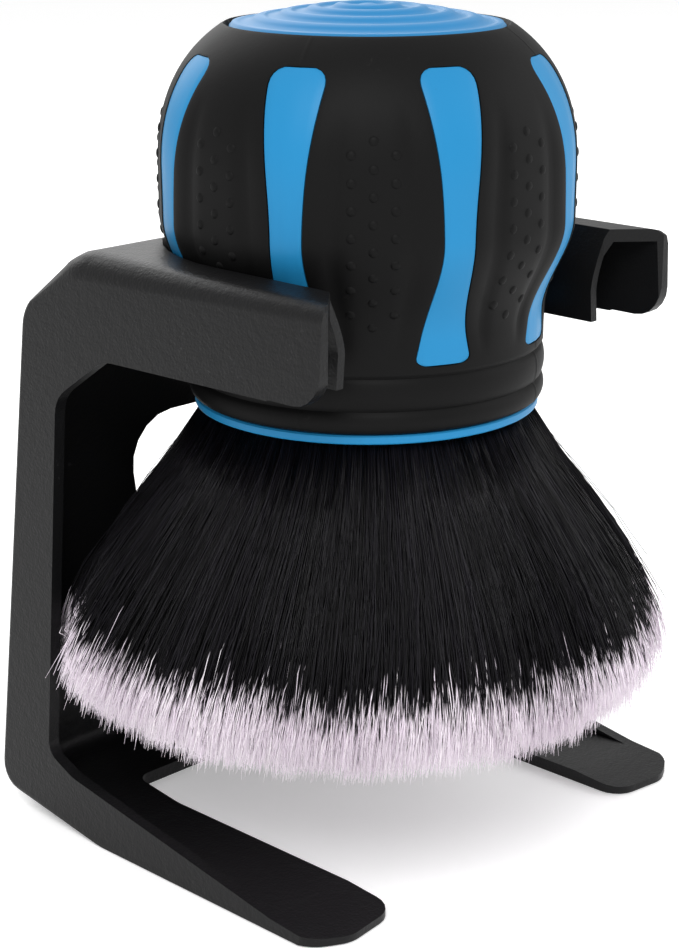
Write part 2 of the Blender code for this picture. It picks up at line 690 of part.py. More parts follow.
def main():
    for old in list(bpy.data.objects):
        bpy.data.objects.remove(old, do_unlink=True)
    black_plastic = material("stand_plastic", BLACK, 0.45)
    rubber = material("sleeve_rubber", BLACK, 0.6)
    blue = material("blue_plastic", BLUE, 0.4)
    build_stand(black_plastic)
    build_sleeve(rubber)
    build_core(blue)
    build_cap(material("cap_plastic", BLUE, 0.4))
    build_cup(material("cup_plastic", BLUE, 0.4))
    build_plug(material("set_resin", (0.6, 0.55, 0.4), 0.3))
    build_bristles(material("bristle_fibre", (0.02, 0.02, 0.025), 0.5))


main()
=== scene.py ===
# Barber's fade brush hanging in its forked stand. Metres, +Z up, the brush leaves the stand towards -Y.
import math

import bpy
import numpy as np
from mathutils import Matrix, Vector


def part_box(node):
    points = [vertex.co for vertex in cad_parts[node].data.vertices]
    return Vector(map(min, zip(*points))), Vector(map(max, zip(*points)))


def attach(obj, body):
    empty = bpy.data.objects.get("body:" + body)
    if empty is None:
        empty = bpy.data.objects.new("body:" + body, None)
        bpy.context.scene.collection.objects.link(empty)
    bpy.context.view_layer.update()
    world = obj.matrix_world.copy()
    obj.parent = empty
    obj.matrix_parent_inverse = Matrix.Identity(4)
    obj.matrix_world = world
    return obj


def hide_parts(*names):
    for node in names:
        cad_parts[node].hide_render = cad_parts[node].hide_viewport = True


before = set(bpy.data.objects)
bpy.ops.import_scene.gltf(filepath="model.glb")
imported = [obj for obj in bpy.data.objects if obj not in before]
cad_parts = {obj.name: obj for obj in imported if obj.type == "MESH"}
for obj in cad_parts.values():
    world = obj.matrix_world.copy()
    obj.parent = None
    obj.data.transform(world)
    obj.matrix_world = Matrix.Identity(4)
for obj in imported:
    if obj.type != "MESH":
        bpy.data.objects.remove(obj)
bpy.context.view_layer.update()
mm = 0.001
sleeveLow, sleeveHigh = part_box("grip_sleeve")
cupLow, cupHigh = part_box("ferrule_cup")
hairLow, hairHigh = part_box("bristles")
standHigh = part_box("stand")[1]
capLow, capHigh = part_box("top_cap")
axisY = (sleeveLow[1] + sleeveHigh[1]) / 2  # the brush's own axis is at x = 0, y = axisY

# sizes that several pieces share
grip = {
    "bellyRadius": 32 * mm,
    "collarRadius": 27.5 * mm,
    "taperLength": 15 * mm,
    "bellyLength": 7 * mm,
    "domeHeight": 25.9 * mm,
    "domePower": 2.35,
    "collarLength": 13.6 * mm,
    "ridge": 0.012,          # windows lie on ridges of a rounded octagon
    "windows": 8,
    "windowTurn": math.radians(22.5),
    "rimZ": sleeveHigh[2],
    "collarZ": sleeveLow[2],
    "waistZ": sleeveLow[2] + 13.6 * mm,
}


# ---- small tools

def deselectAll():
    if bpy.context.object and bpy.context.object.mode != "OBJECT":
        bpy.ops.object.mode_set(mode="OBJECT")
    bpy.ops.object.select_all(action="DESELECT")


def makeActive(ob):
    deselectAll()
    ob.select_set(True)
    bpy.context.view_layer.objects.active = ob


def applyAll(ob):
    makeActive(ob)
    for modifier in list(ob.modifiers):
        bpy.ops.object.modifier_apply(modifier=modifier.name)


def inEditMode(ob, work, mode="VERT"):
    makeActive(ob)
    bpy.ops.object.mode_set(mode="EDIT")
    bpy.ops.mesh.select_mode(type=mode)
    bpy.ops.mesh.select_all(action="SELECT")
    work()
    bpy.ops.object.mode_set(mode="OBJECT")


def smoothByAngle(ob, degrees):
    makeActive(ob)
    bpy.ops.object.shade_smooth_by_angle(angle=math.radians(degrees))


def ease(t):
    t = max(0.0, min(1.0, t))
    return t * t * (3 - 2 * t)


def addGrid(name, columns, rows):
    deselectAll()
    bpy.ops.mesh.primitive_grid_add(x_subdivisions=columns, y_subdivisions=rows, size=1, location=(0, 0, 0))
    ob = bpy.context.object
    ob.name = name
    return ob


def gridCells(ob, columns, rows):
    for face in ob.data.polygons:
        yield int((face.center.x + 0.5) * columns), int((face.center.y + 0.5) * rows)


def wrapGrid(ob, columns, rows, place):
    # every point of the flat grid goes to its place round the axis, and the seam is closed
    for vertex in ob.data.vertices:
        i = round((vertex.co.x + 0.5) * columns)
        j = round((vertex.co.y + 0.5) * rows)
        vertex.co = place(i, j)
    inEditMode(ob, lambda: bpy.ops.mesh.remove_doubles(threshold=0.004 * mm))


def turned(name, profile, steps):
    # a closed (radius, height) outline, spun about the brush axis
    deselectAll()
    bpy.ops.mesh.primitive_circle_add(vertices=len(profile), radius=1, fill_type="NOTHING",
                                      location=(0, 0, 0))
    ob = bpy.context.object
    ob.name = name
    for vertex, (radius, height) in zip(ob.data.vertices, profile):
        vertex.co = (radius, axisY, height)
    onAxis = [i for i, (radius, _) in enumerate(profile) if radius < 0.001 * mm]
    for edge in ob.data.edges:
        edge.select = edge.vertices[0] in onAxis and edge.vertices[1] in onAxis
    if any(edge.select for edge in ob.data.edges):
        chosen = [edge.select for edge in ob.data.edges]
        makeActive(ob)
        bpy.ops.object.mode_set(mode="EDIT")
        bpy.ops.mesh.select_mode(type="EDGE")
        bpy.ops.mesh.select_all(action="DESELECT")
        bpy.ops.object.mode_set(mode="OBJECT")
        ob.data.edges.foreach_set("select", chosen)
        bpy.ops.object.mode_set(mode="EDIT")
        bpy.ops.mesh.delete(type="EDGE_FACE")
        bpy.ops.object.mode_set(mode="OBJECT")

    def spinRound():
        bpy.ops.mesh.spin(steps=steps, angle=2 * math.pi, center=(0, axisY, 0), axis=(0, 0, 1))
        bpy.ops.mesh.select_all(action="SELECT")
        bpy.ops.mesh.remove_doubles(threshold=0.002 * mm)
        bpy.ops.mesh.normals_make_consistent(inside=False)

    inEditMode(ob, spinRound)
    return ob


# ---- the grip's surface

def gripRadius(z):
    bellyTop = grip["waistZ"] + grip["taperLength"] + grip["bellyLength"]
    if z >= bellyTop:
        rise = min(1.0, (z - bellyTop) / grip["domeHeight"])
        return grip["bellyRadius"] * (1 - rise ** grip["domePower"]) ** (1 / grip["domePower"])
    share = ease((z - grip["waistZ"]) / grip["taperLength"])
    return grip["collarRadius"] + (grip["bellyRadius"] - grip["collarRadius"]) * share


def ridgeShare(z):
    bellyTop = grip["waistZ"] + grip["taperLength"] + grip["bellyLength"]
    up = ease((z - grip["waistZ"]) / grip["taperLength"])
    down = ease((grip["rimZ"] - z) / (grip["rimZ"] - bellyTop))
    return grip["ridge"] * up * down


def gripSurface(z, angle):
    return gripRadius(z) * (1 + ridgeShare(z) * math.cos(grip["windows"] * (angle - grip["windowTurn"])))


window = {
    "waist": 4.5,              # half angle in degrees at the narrowest place
    "end": 9.9,
    "bottom": grip["waistZ"] - 3.8 * mm,
    "top": grip["waistZ"] + 39.0 * mm,
    "narrow": grip["waistZ"] + 14.5 * mm,
    "headRound": 3.0 * mm,     # height over which the upper end closes in an arc
    "footRound": 1.7 * mm,
    "arc": 2.8,                # higher is squarer
    "endSteps": 6,
}


def windowHalfAngle(z):
    span = window["top"] - window["narrow"] if z > window["narrow"] else window["narrow"] - window["bottom"]
    share = min(1.0, abs(z - window["narrow"]) / span) ** 1.8
    width = window["waist"] + (window["end"] - window["waist"]) * share
    fromEnds = ((window["top"] - z, window["headRound"]), (z - window["bottom"], window["footRound"]))
    for distance, height in fromEnds:
        rise = 0.97 * min(1.0, max(0.0, 1 - distance / height))
        width *= (1 - rise ** window["arc"]) ** (1 / window["arc"])
    return math.radians(width)


def endRows(gap):
    # heights that crowd towards the rounded ends of the windows
    low, high = window["bottom"] + gap, window["top"] - gap
    steps = window["endSteps"]
    shares = [1 - math.cos(math.pi / 2 * k / steps) for k in range(steps + 1)]
    foot = [low + window["footRound"] * s for s in shares]
    head = [high - window["headRound"] * s for s in reversed(shares)]
    return foot, head


def polar(radius, angle, z):
    return (radius * math.cos(angle), axisY + radius * math.sin(angle), z)


# ---- materials

def addSocket(group, name, direction, kind, value=None):
    socket = group.interface.new_socket(name=name, in_out=direction, socket_type=kind)
    if value is not None:
        socket.default_value = value
    return socket


def makeGrainGroup():
    # fine moulded grain with slow patches: a height for bump and a roughness that drifts
    group = bpy.data.node_groups.new("mouldedGrain", "ShaderNodeTree")
    addSocket(group, "Grain Size", "INPUT", "NodeSocketFloat", 900.0)
    addSocket(group, "Patch Size", "INPUT", "NodeSocketFloat", 40.0)
    addSocket(group, "Base Roughness", "INPUT", "NodeSocketFloat", 0.5)
    addSocket(group, "Roughness Drift", "INPUT", "NodeSocketFloat", 0.1)
    addSocket(group, "Height", "OUTPUT", "NodeSocketFloat")
    addSocket(group, "Roughness", "OUTPUT", "NodeSocketFloat")
    addSocket(group, "Patches", "OUTPUT", "NodeSocketFloat")
    nodes, links = group.nodes, group.links
    given, out = nodes.new("NodeGroupInput"), nodes.new("NodeGroupOutput")
    place = nodes.new("ShaderNodeTexCoord")
    fine, coarse, patches = (nodes.new("ShaderNodeTexNoise") for _ in range(3))
    fine.inputs["Detail"].default_value = 3
    coarse.inputs["Detail"].default_value = 2
    patches.inputs["Detail"].default_value = 4
    quarter = nodes.new("ShaderNodeMath")
    quarter.operation = "MULTIPLY"
    quarter.inputs[1].default_value = 0.3
    both = nodes.new("ShaderNodeMath")
    both.operation = "ADD"
    centred = nodes.new("ShaderNodeMath")
    centred.operation = "SUBTRACT"
    centred.inputs[1].default_value = 0.5
    drift = nodes.new("ShaderNodeMath")
    drift.operation = "MULTIPLY_ADD"
    for texture in (fine, coarse, patches):
        links.new(place.outputs["Object"], texture.inputs["Vector"])
    links.new(given.outputs["Grain Size"], fine.inputs["Scale"])
    links.new(given.outputs["Grain Size"], quarter.inputs[0])
    links.new(quarter.outputs[0], coarse.inputs["Scale"])
    links.new(given.outputs["Patch Size"], patches.inputs["Scale"])
    links.new(fine.outputs["Fac"], both.inputs[0])
    links.new(coarse.outputs["Fac"], both.inputs[1])
    links.new(both.outputs[0], out.inputs["Height"])
    links.new(patches.outputs["Fac"], centred.inputs[0])
    links.new(centred.outputs[0], drift.inputs[0])
    links.new(given.outputs["Roughness Drift"], drift.inputs[1])
    links.new(given.outputs["Base Roughness"], drift.inputs[2])
    links.new(drift.outputs[0], out.inputs["Roughness"])
    links.new(patches.outputs["Fac"], out.inputs["Patches"])
    return group


mouldedGrain = makeGrainGroup()


def makeScuffGroup():
    # sparse pale specks and short rubbed marks, as a mask
    group = bpy.data.node_groups.new("handlingScuffs", "ShaderNodeTree")
    addSocket(group, "Speck Size", "INPUT", "NodeSocketFloat", 450.0)
    addSocket(group, "Mask", "OUTPUT", "NodeSocketFloat")
    nodes, links = group.nodes, group.links
    given, out = nodes.new("NodeGroupInput"), nodes.new("NodeGroupOutput")
    place = nodes.new("ShaderNodeTexCoord")
    specks, where = nodes.new("ShaderNodeTexNoise"), nodes.new("ShaderNodeTexNoise")
    specks.inputs["Detail"].default_value = 6
    specks.inputs["Distortion"].default_value = 1.5
    where.inputs["Scale"].default_value = 45
    sparse, zone = nodes.new("ShaderNodeMapRange"), nodes.new("ShaderNodeMapRange")
    sparse.inputs["From Min"].default_value = 0.68
    sparse.inputs["From Max"].default_value = 0.76
    zone.inputs["From Min"].default_value = 0.52
    zone.inputs["From Max"].default_value = 0.66
    both = nodes.new("ShaderNodeMath")
    both.operation = "MULTIPLY"
    links.new(place.outputs["Object"], specks.inputs["Vector"])
    links.new(place.outputs["Object"], where.inputs["Vector"])
    links.new(given.outputs["Speck Size"], specks.inputs["Scale"])
    links.new(specks.outputs["Fac"], sparse.inputs["Value"])
    links.new(where.outputs["Fac"], zone.inputs["Value"])
    links.new(sparse.outputs["Result"], both.inputs[0])
    links.new(zone.outputs["Result"], both.inputs[1])
    links.new(both.outputs[0], out.inputs["Mask"])
    return group


handlingScuffs = makeScuffGroup()


def mouldedSurface(name, look):
    made = bpy.data.materials.new(name)
    made.use_nodes = True
    nodes, links = made.node_tree.nodes, made.node_tree.links
    shader = nodes["Principled BSDF"]
    grain = nodes.new("ShaderNodeGroup")
    grain.node_tree = mouldedGrain
    grain.inputs["Grain Size"].default_value = look["grainSize"]
    grain.inputs["Patch Size"].default_value = look["patchSize"]
    grain.inputs["Base Roughness"].default_value = look["roughness"]
    grain.inputs["Roughness Drift"].default_value = look["drift"]
    tint = nodes.new("ShaderNodeMix")
    tint.data_type = "RGBA"
    tint.inputs["A"].default_value = (*look["colour"], 1)
    tint.inputs["B"].default_value = (*look["otherColour"], 1)
    links.new(grain.outputs["Patches"], tint.inputs["Factor"])
    bump = nodes.new("ShaderNodeBump")
    bump.inputs["Strength"].default_value = look["bump"]
    bump.inputs["Distance"].default_value = look["bumpDepth"]
    links.new(grain.outputs["Height"], bump.inputs["Height"])
    links.new(bump.outputs["Normal"], shader.inputs["Normal"])
    links.new(grain.outputs["Roughness"], shader.inputs["Roughness"])
    scuffs = nodes.new("ShaderNodeGroup")
    scuffs.node_tree = handlingScuffs
    scuffs.inputs["Speck Size"].default_value = look["speckSize"]
    rubbed = nodes.new("ShaderNodeMix")
    rubbed.data_type = "RGBA"
    rubbed.inputs["B"].default_value = (*look["scuffColour"], 1)
    links.new(scuffs.outputs["Mask"], rubbed.inputs["Factor"])
    links.new(tint.outputs["Result"], rubbed.inputs["A"])
    links.new(rubbed.outputs["Result"], shader.inputs["Base Color"])
    for socket, value in look["shader"].items():
        shader.inputs[socket].default_value = value
    return made


looks = {
    "stand": {
        "colour": (0.0045, 0.0045, 0.0049), "otherColour": (0.0066, 0.0066, 0.0070),
        "speckSize": 420, "scuffColour": (0.045, 0.045, 0.047),
        "grainSize": 2300, "patchSize": 30, "roughness": 0.42, "drift": 0.12,
        "bump": 0.60, "bumpDepth": 0.12 * mm, "shader": {"Specular IOR Level": 0.2},
    },
    "rubber": {
        "colour": (0.0032, 0.0032, 0.0033), "otherColour": (0.0048, 0.0047, 0.0047),
        "speckSize": 700, "scuffColour": (0.020, 0.019, 0.018),
        "grainSize": 3400, "patchSize": 60, "roughness": 0.56, "drift": 0.12,
        "bump": 0.25, "bumpDepth": 0.05 * mm, "shader": {"Specular IOR Level": 0.11},
    },
    "blue": {
        "colour": (0.012, 0.19, 0.41), "otherColour": (0.016, 0.23, 0.48),
        "speckSize": 500, "scuffColour": (0.008, 0.12, 0.27),
        "grainSize": 1500, "patchSize": 25, "roughness": 0.42, "drift": 0.10,
        "bump": 0.10, "bumpDepth": 0.04 * mm, "shader": {"Specular IOR Level": 0.2},
    },
    "cap": {
        "colour": (0.020, 0.185, 0.41), "otherColour": (0.026, 0.22, 0.47),
        "speckSize": 500, "scuffColour": (0.05, 0.28, 0.55),
        "grainSize": 1500, "patchSize": 25, "roughness": 0.45, "drift": 0.10,
        "bump": 0.10, "bumpDepth": 0.04 * mm, "shader": {"Specular IOR Level": 0.2},
    },
    "resin": {
        "colour": (0.5, 0.44, 0.3), "otherColour": (0.56, 0.5, 0.34),
        "speckSize": 300, "scuffColour": (0.4, 0.34, 0.2),
        "grainSize": 600, "patchSize": 30, "roughness": 0.3, "drift": 0.1,
        "bump": 0.1, "bumpDepth": 0.05 * mm, "shader": {},
    },
}
standPlastic = mouldedSurface("standPlastic", looks["stand"])
sleeveRubber = mouldedSurface("sleeveRubber", looks["rubber"])
coreBlue = mouldedSurface("coreBlue", looks["blue"])
capBlue = mouldedSurface("capBlue", looks["cap"])
setResin = mouldedSurface("setResin", looks["resin"])


def finishPiece(ob, material, body, slot, *nodes):
    ob.data.materials.clear()
    ob.data.materials.append(material)
    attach(ob, body)
    if nodes:
        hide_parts(*nodes)


# ---- stand: the frame's moulding with its edges eased

standEase = {
    "edge": 0.35 * mm,
    "segments": 2,
    "sharp": 34,               # degrees; edges sharper than this are eased
    "flat": 0.6,               # degrees; flatter joins between faces are merged
    "smooth": 40,
    "weight": 80,
}


def makeStand():
    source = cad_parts["stand"]
    ob = bpy.data.objects.new("stand_shell", source.data.copy())
    bpy.context.scene.collection.objects.link(ob)

    def tidyMesh():
        bpy.ops.mesh.remove_doubles(threshold=0.01 * mm)
        bpy.ops.mesh.dissolve_limited(angle_limit=math.radians(standEase["flat"]))

    inEditMode(ob, tidyMesh)
    eased = ob.modifiers.new("ease", "BEVEL")
    eased.width = standEase["edge"]
    eased.segments = standEase["segments"]
    eased.limit_method = "ANGLE"
    eased.angle_limit = math.radians(standEase["sharp"])
    eased.harden_normals = False
    applyAll(ob)
    smoothByAngle(ob, standEase["smooth"])
    # the flat plates keep their own shading up to the rounded edges
    level = ob.modifiers.new("level", "WEIGHTED_NORMAL")
    level.mode = "FACE_AREA"
    level.weight = standEase["weight"]
    level.keep_sharp = True
    applyAll(ob)
    finishPiece(ob, standPlastic, "stand", "stand_plastic", "stand")
    print("stand made", len(ob.data.polygons))


# ---- rubber sleeve

sleeve = {
    "wall": 2.0 * mm,
    "windowColumns": 12,
    "panelColumns": 20,
    "lip": 0.32 * mm,          # rounding of the window edges
    "bead": 0.45 * mm,
    "valley": 0.42 * mm,       # groove beside each window's raised border
    "valleyPlace": 0.60,
    "valleyWidth": 0.13,
    "fadeLow": 6 * mm,         # the panel's shape fades out over these heights
    "fadeHigh": 12 * mm,
    "fadeGap": 3 * mm,
    "pillow": 0.18 * mm,
    "tear": 0.32 * mm,         # ragged edge left where the rubber was trimmed
    "seamLine": 0.10 * mm,     # mould parting lines, on every second window
    "seamWidth": 0.30 * mm,
    "collarRows": 30,
    "windowRows": 56,
    "rimRows": 12,
}


def beadOffset(z):
    low = grip["collarZ"]
    first = low + 0.24 * grip["collarLength"]
    second = low + 0.60 * grip["collarLength"]
    if z >= second:
        return -sleeve["bead"] * (1 - ease((z - second) / (0.7 * mm)))
    start, end = (low, first) if z < first else (first, second)
    share = max(0.0, min(1.0, (z - start) / (end - start)))
    return -sleeve["bead"] + sleeve["bead"] * 1.5 * math.sin(math.pi * share) ** 0.6


def panelShape(z, across):
    # across is 0 on the panel's middle line and 1 at the window's edge
    fade = ease((z - window["bottom"]) / sleeve["fadeLow"])
    fade *= ease((window["top"] - sleeve["fadeGap"] - z) / sleeve["fadeHigh"])
    place = sleeve["valleyPlace"]
    groove = -sleeve["valley"] * math.exp(-(((across - place) / sleeve["valleyWidth"]) ** 2))
    lens = sleeve["pillow"] * max(0.0, 1 - (across / place) ** 2) if across < place else 0.0
    return (groove + lens) * fade


def seamOffset(angle, depth):
    # four parting lines, a quarter turn apart
    turn = (angle - grip["windowTurn"]) % (math.pi / 2)
    away = min(turn, math.pi / 2 - turn) * grip["bellyRadius"]
    return depth * max(0.0, 1 - away / sleeve["seamWidth"])


def raggedEdge(columns):
    # mostly a clean trim, with torn flash on two opposite sides
    random = np.random.default_rng(11)
    rough = random.random(columns)
    turn = np.arange(columns) / columns * 2 * math.pi + grip["windowTurn"]
    torn = np.exp(-((np.abs(np.sin(turn - math.radians(135))) / 0.22) ** 2))
    return sleeve["tear"] * rough * (0.25 + 1.0 * torn)


def sleeveAngle(i, z):
    perSector = sleeve["windowColumns"] + sleeve["panelColumns"]
    sector, step = divmod(i, perSector)
    half = windowHalfAngle(min(max(z, window["bottom"]), window["top"]))
    quarter = math.pi / grip["windows"]
    if step <= sleeve["windowColumns"]:
        offset = half * (2 * step / sleeve["windowColumns"] - 1)
        across = 1.0
    else:
        share = (step - sleeve["windowColumns"]) / sleeve["panelColumns"]
        offset = half + 2 * (quarter - half) * share
        across = abs(2 * share - 1)
    return grip["windowTurn"] + 2 * math.pi * sector / grip["windows"] + offset, across


def sleeveRadius(z, angle, across):
    radius = gripSurface(z, angle) + panelShape(z, across) + seamOffset(angle, sleeve["seamLine"])
    if z < grip["waistZ"]:
        radius += beadOffset(z)
    return radius


def makeSleeve():
    low, high = grip["collarZ"], grip["rimZ"]
    lowCorner, highCorner = endRows(0)
    rowCount, collarRows, rimRows = sleeve["windowRows"], sleeve["collarRows"], sleeve["rimRows"]
    body = [lowCorner[-1] + (highCorner[0] - lowCorner[-1]) * k / rowCount for k in range(1, rowCount)]
    heights = [low + (window["bottom"] - low) * k / collarRows for k in range(collarRows)]
    firstOpen = len(heights)
    heights += lowCorner + body + highCorner
    lastOpen = len(heights) - 1
    heights += [window["top"] + (high - window["top"]) * k / rimRows for k in range(1, rimRows + 1)]
    columns = grip["windows"] * (sleeve["windowColumns"] + sleeve["panelColumns"])
    rows = len(heights) - 1
    perSector = sleeve["windowColumns"] + sleeve["panelColumns"]
    ragged = raggedEdge(columns)
    ob = addGrid("rubber_sleeve", columns, rows)
    drop = [firstOpen <= j < lastOpen and i % perSector < sleeve["windowColumns"]
            for i, j in gridCells(ob, columns, rows)]
    makeActive(ob)
    bpy.ops.object.mode_set(mode="EDIT")
    bpy.ops.mesh.select_mode(type="FACE")
    bpy.ops.mesh.select_all(action="DESELECT")
    bpy.ops.object.mode_set(mode="OBJECT")
    ob.data.polygons.foreach_set("select", drop)
    bpy.ops.object.mode_set(mode="EDIT")
    bpy.ops.mesh.delete(type="FACE")
    bpy.ops.object.mode_set(mode="OBJECT")

    def place(i, j):
        z = heights[j]
        angle, across = sleeveAngle(i, z)
        radius = sleeveRadius(z, angle, across)
        if j == rows:
            radius -= ragged[i % columns]
            z += 0.6 * max(0.0, ragged[i % columns] - 0.5 * sleeve["tear"])
        return polar(radius, angle, z)

    wrapGrid(ob, columns, rows, place)
    wall = ob.modifiers.new("wall", "SOLIDIFY")
    wall.thickness = sleeve["wall"]
    wall.offset = -1
    lip = ob.modifiers.new("lip", "BEVEL")
    lip.width = sleeve["lip"]
    lip.segments = 3
    lip.limit_method = "ANGLE"
    lip.angle_limit = math.radians(50)
    applyAll(ob)
    print("sleeve made", len(ob.data.polygons))
    return ob


dots = {
    "radius": 0.80 * mm,
    "height": 0.22 * mm,
    "middleRows": 8,
    "top": grip["waistZ"] + 29.6 * mm,
    "bottom": grip["waistZ"] + 2.5 * mm,
    "spread": 3.15 * mm,       # from the middle column to a side column
    "turns": 10,
    "sunk": 0.12 * mm,
    "profile": [(0.82, 0.24), (0.55, 0.55), (0.24, 0.70)],   # width and height of each ring
}


def makeDots():
    # one soft pip, copied over every panel in three staggered columns
    deselectAll()
    bpy.ops.mesh.primitive_circle_add(vertices=dots["turns"], radius=dots["radius"], fill_type="NGON",
                                      location=(0, 0, -dots["sunk"]))
    pip = bpy.context.object
    bpy.ops.object.mode_set(mode="EDIT")
    bpy.ops.mesh.select_mode(type="FACE")
    bpy.ops.mesh.select_all(action="SELECT")
    before, beforeHeight = 1.0, -dots["sunk"]
    for width, share in dots["profile"]:
        height = dots["height"] * share / dots["profile"][-1][1]
        bpy.ops.mesh.extrude_region_move(TRANSFORM_OT_translate={"value": (0, 0, height - beforeHeight)})
        bpy.ops.transform.resize(value=(width / before, width / before, 1))
        before, beforeHeight = width, height
    bpy.ops.object.mode_set(mode="OBJECT")
    shape = [tuple(v.co) for v in pip.data.vertices]
    offset = pip.location.copy()
    faces = [tuple(f.vertices) for f in pip.data.polygons]
    points, polygons = [], []
    quarter = math.pi / grip["windows"]
    spacing = (dots["top"] - dots["bottom"]) / (dots["middleRows"] - 1)
    for panel in range(grip["windows"]):
        middle = grip["windowTurn"] + 2 * quarter * panel + quarter
        places = [(middle, dots["top"] - spacing * k) for k in range(dots["middleRows"])]
        for side in (-1, 1):
            for k in range(dots["middleRows"] - 1):
                z = dots["top"] - spacing * (k + 0.5)
                places.append((middle + side * dots["spread"] / gripRadius(z), z))
        for angle, z in places:
            addPip(points, polygons, shape, offset, faces, angle, z, middle)
    bpy.data.objects.remove(pip)
    mesh = bpy.data.meshes.new("pips")
    mesh.from_pydata(points, [], polygons)
    ob = bpy.data.objects.new("pips", mesh)
    bpy.context.scene.collection.objects.link(ob)
    return ob


def panelPoint(z, angle, middle):
    quarter = math.pi / grip["windows"]
    half = windowHalfAngle(min(max(z, window["bottom"]), window["top"]))
    across = abs(angle - middle) / (quarter - half)
    return np.array(polar(sleeveRadius(z, angle, across), angle, z))


def addPip(points, polygons, shape, offset, faces, angle, z, middle):
    step = 0.2 * mm
    here = panelPoint(z, angle, middle)
    along = panelPoint(z + step, angle, middle) - panelPoint(z - step, angle, middle)
    turn = step / gripRadius(z)
    around = panelPoint(z, angle + turn, middle) - panelPoint(z, angle - turn, middle)
    along /= np.linalg.norm(along)
    around /= np.linalg.norm(around)
    out = np.cross(around, along)
    start = len(points)
    for x, y, height in shape:
        points.append(tuple(here + around * x + along * y + out * (height + offset.z)))
    polygons.extend(tuple(start + k for k in face) for face in faces)


# ---- blue core with its lands

core = {
    "wall": 1.6 * mm,
    "gap": 0.16 * mm,          # between a land and its window's edge
    "step": 0.12 * mm,         # how far a land lies below the sleeve's surface
    "under": 2.3 * mm,
    "landColumns": 8,
    "panelColumns": 8,
    "rows": 40,
    "aboveCapFoot": 3.7 * mm,
    "edge": 0.22 * mm,
}


def makeCore():
    low, high = grip["collarZ"], capLow[2] + core["aboveCapFoot"]
    lowCorner, highCorner = endRows(core["gap"])
    rowCount = core["rows"]
    body = [lowCorner[-1] + (highCorner[0] - lowCorner[-1]) * k / rowCount for k in range(1, rowCount)]
    heights = [low, (low + window["bottom"]) / 2, lowCorner[0]] + lowCorner
    firstLand = 3
    heights += body + highCorner
    lastLand = len(heights) - 1
    heights += [highCorner[-1], high]
    perSector = core["landColumns"] + core["panelColumns"]
    columns = grip["windows"] * perSector
    rows = len(heights) - 1
    ob = addGrid("blue_core", columns, rows)

    def place(i, j):
        z = heights[j]
        sector, step = divmod(i, perSector)
        half = windowHalfAngle(min(max(z, window["bottom"]), window["top"])) - core["gap"] / gripRadius(z)
        quarter = math.pi / grip["windows"]
        inner = core["landColumns"] - 2
        onLand = firstLand <= j <= lastLand and 1 <= step <= inner + 1
        if step <= core["landColumns"]:
            share = min(max(step - 1, 0), inner) / inner
            offset = half * (2 * share - 1)
        else:
            share = (step - core["landColumns"]) / core["panelColumns"]
            offset = half + 2 * (quarter - half) * share
        angle = grip["windowTurn"] + 2 * math.pi * sector / grip["windows"] + offset
        radius = gripSurface(z, angle)
        radius += seamOffset(angle, sleeve["seamLine"]) - core["step"] if onLand else -core["under"]
        return polar(radius, angle, z)

    wrapGrid(ob, columns, rows, place)
    wall = ob.modifiers.new("wall", "SOLIDIFY")
    wall.thickness = core["wall"]
    wall.offset = -1
    edge = ob.modifiers.new("edge", "BEVEL")
    edge.width = core["edge"]
    edge.segments = 2
    edge.limit_method = "ANGLE"
    edge.angle_limit = math.radians(50)
    applyAll(ob)
    smoothByAngle(ob, 40)
    finishPiece(ob, coreBlue, "brush", "core_plastic", "grip_core")
    print("core made", len(ob.data.polygons))


# ---- rippled cap, ferrule cup

cap = {
    "radius": (capHigh[0] - capLow[0]) / 2,
    "dome": 2.9 * mm,
    "rings": 5,
    "ripple": 0.36 * mm,
    "edgeRound": 0.5 * mm,
    "belowRim": 0.2 * mm,
    "plug": 16.5 * mm,
    "plugDepth": 4 * mm,
    "plugWall": 1.5 * mm,
    "steps": 110,
    "turns": 144,
}


def makeCap():
    edgeZ = grip["rimZ"] - cap["belowRim"]
    under = capLow[2] + cap["plugDepth"]
    profile = [(0, edgeZ + cap["dome"])]
    flat = 1 - cap["edgeRound"] / cap["radius"]
    for k in range(1, cap["steps"] + 1):
        share = flat * k / cap["steps"]
        wave = math.cos(2 * math.pi * cap["rings"] * share / flat)
        crest = math.copysign(abs(wave) ** 0.75, wave)
        ripple = cap["ripple"] * crest * ease(share * 8) * (1 - 0.35 * share)
        profile.append((cap["radius"] * share, edgeZ + cap["dome"] * (1 - share ** 1.8) + ripple))
    for k in range(1, 5):
        turn = math.pi / 2 * k / 4
        profile.append((cap["radius"] - cap["edgeRound"] * (1 - math.sin(turn)),
                        edgeZ + 0.1 * mm - cap["edgeRound"] * (1 - math.cos(turn))))
    inner = cap["plug"] - cap["plugWall"]
    profile += [(cap["radius"], under), (cap["plug"], under), (cap["plug"], capLow[2]), (inner, capLow[2]),
                (inner, under), (0, under)]
    ob = turned("ripple_cap", profile, cap["turns"])
    smoothByAngle(ob, 50)
    finishPiece(ob, capBlue, "brush", "cap_plastic", "top_cap")
    print("cap made", len(ob.data.polygons))


cup = {
    "radius": (cupHigh[0] - cupLow[0]) / 2,
    "boreInset": 4.8 * mm,
    "skirtWall": 1.2 * mm,
    "lipInset": 2.3 * mm,
    "lipBevel": 0.2 * mm,
    "footRound": 0.35 * mm,
    "topBevel": 0.25 * mm,
    "topGap": 0.3 * mm,        # below the collar
    "mouth": 1.0 * mm,
    "turns": 144,
}


